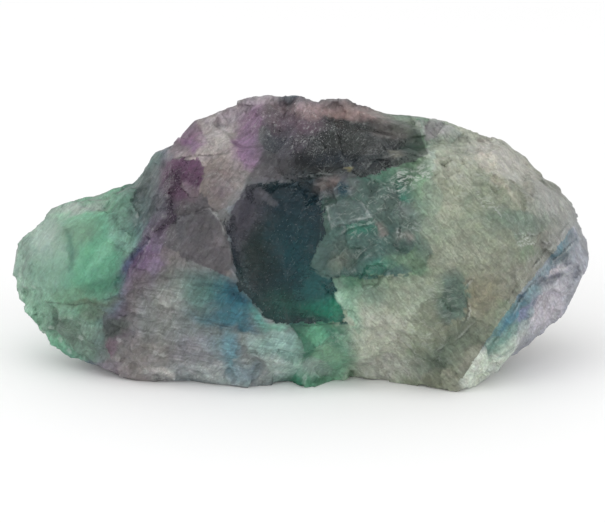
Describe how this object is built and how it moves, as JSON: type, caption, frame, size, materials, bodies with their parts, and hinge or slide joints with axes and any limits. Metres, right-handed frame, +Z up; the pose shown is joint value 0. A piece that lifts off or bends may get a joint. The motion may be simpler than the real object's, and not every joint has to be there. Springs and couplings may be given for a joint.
{
  "type": "rough chunk of banded fluorite",
  "caption": "Rough broken chunk of banded fluorite in green, violet, grey, teal and blue, resting on a flat cleavage face, for display or as a set-dressing stone.",
  "frame": {"origin": "on the resting face, below the middle of the stone's box", "axes": "+X along the stone from its narrow green lobe to its striped right end, -Y out of its broad front, +Z up"},
  "size_m": [0.0718, 0.0314, 0.0333],
  "materials": {
    "fluorite": "broken translucent banded fluorite, frosted on its sugary breaks and glossy on its cleavage faces"
  },
  "bodies": {
    "root": {"stone": "fluorite"}
  },
  "joints": []
}
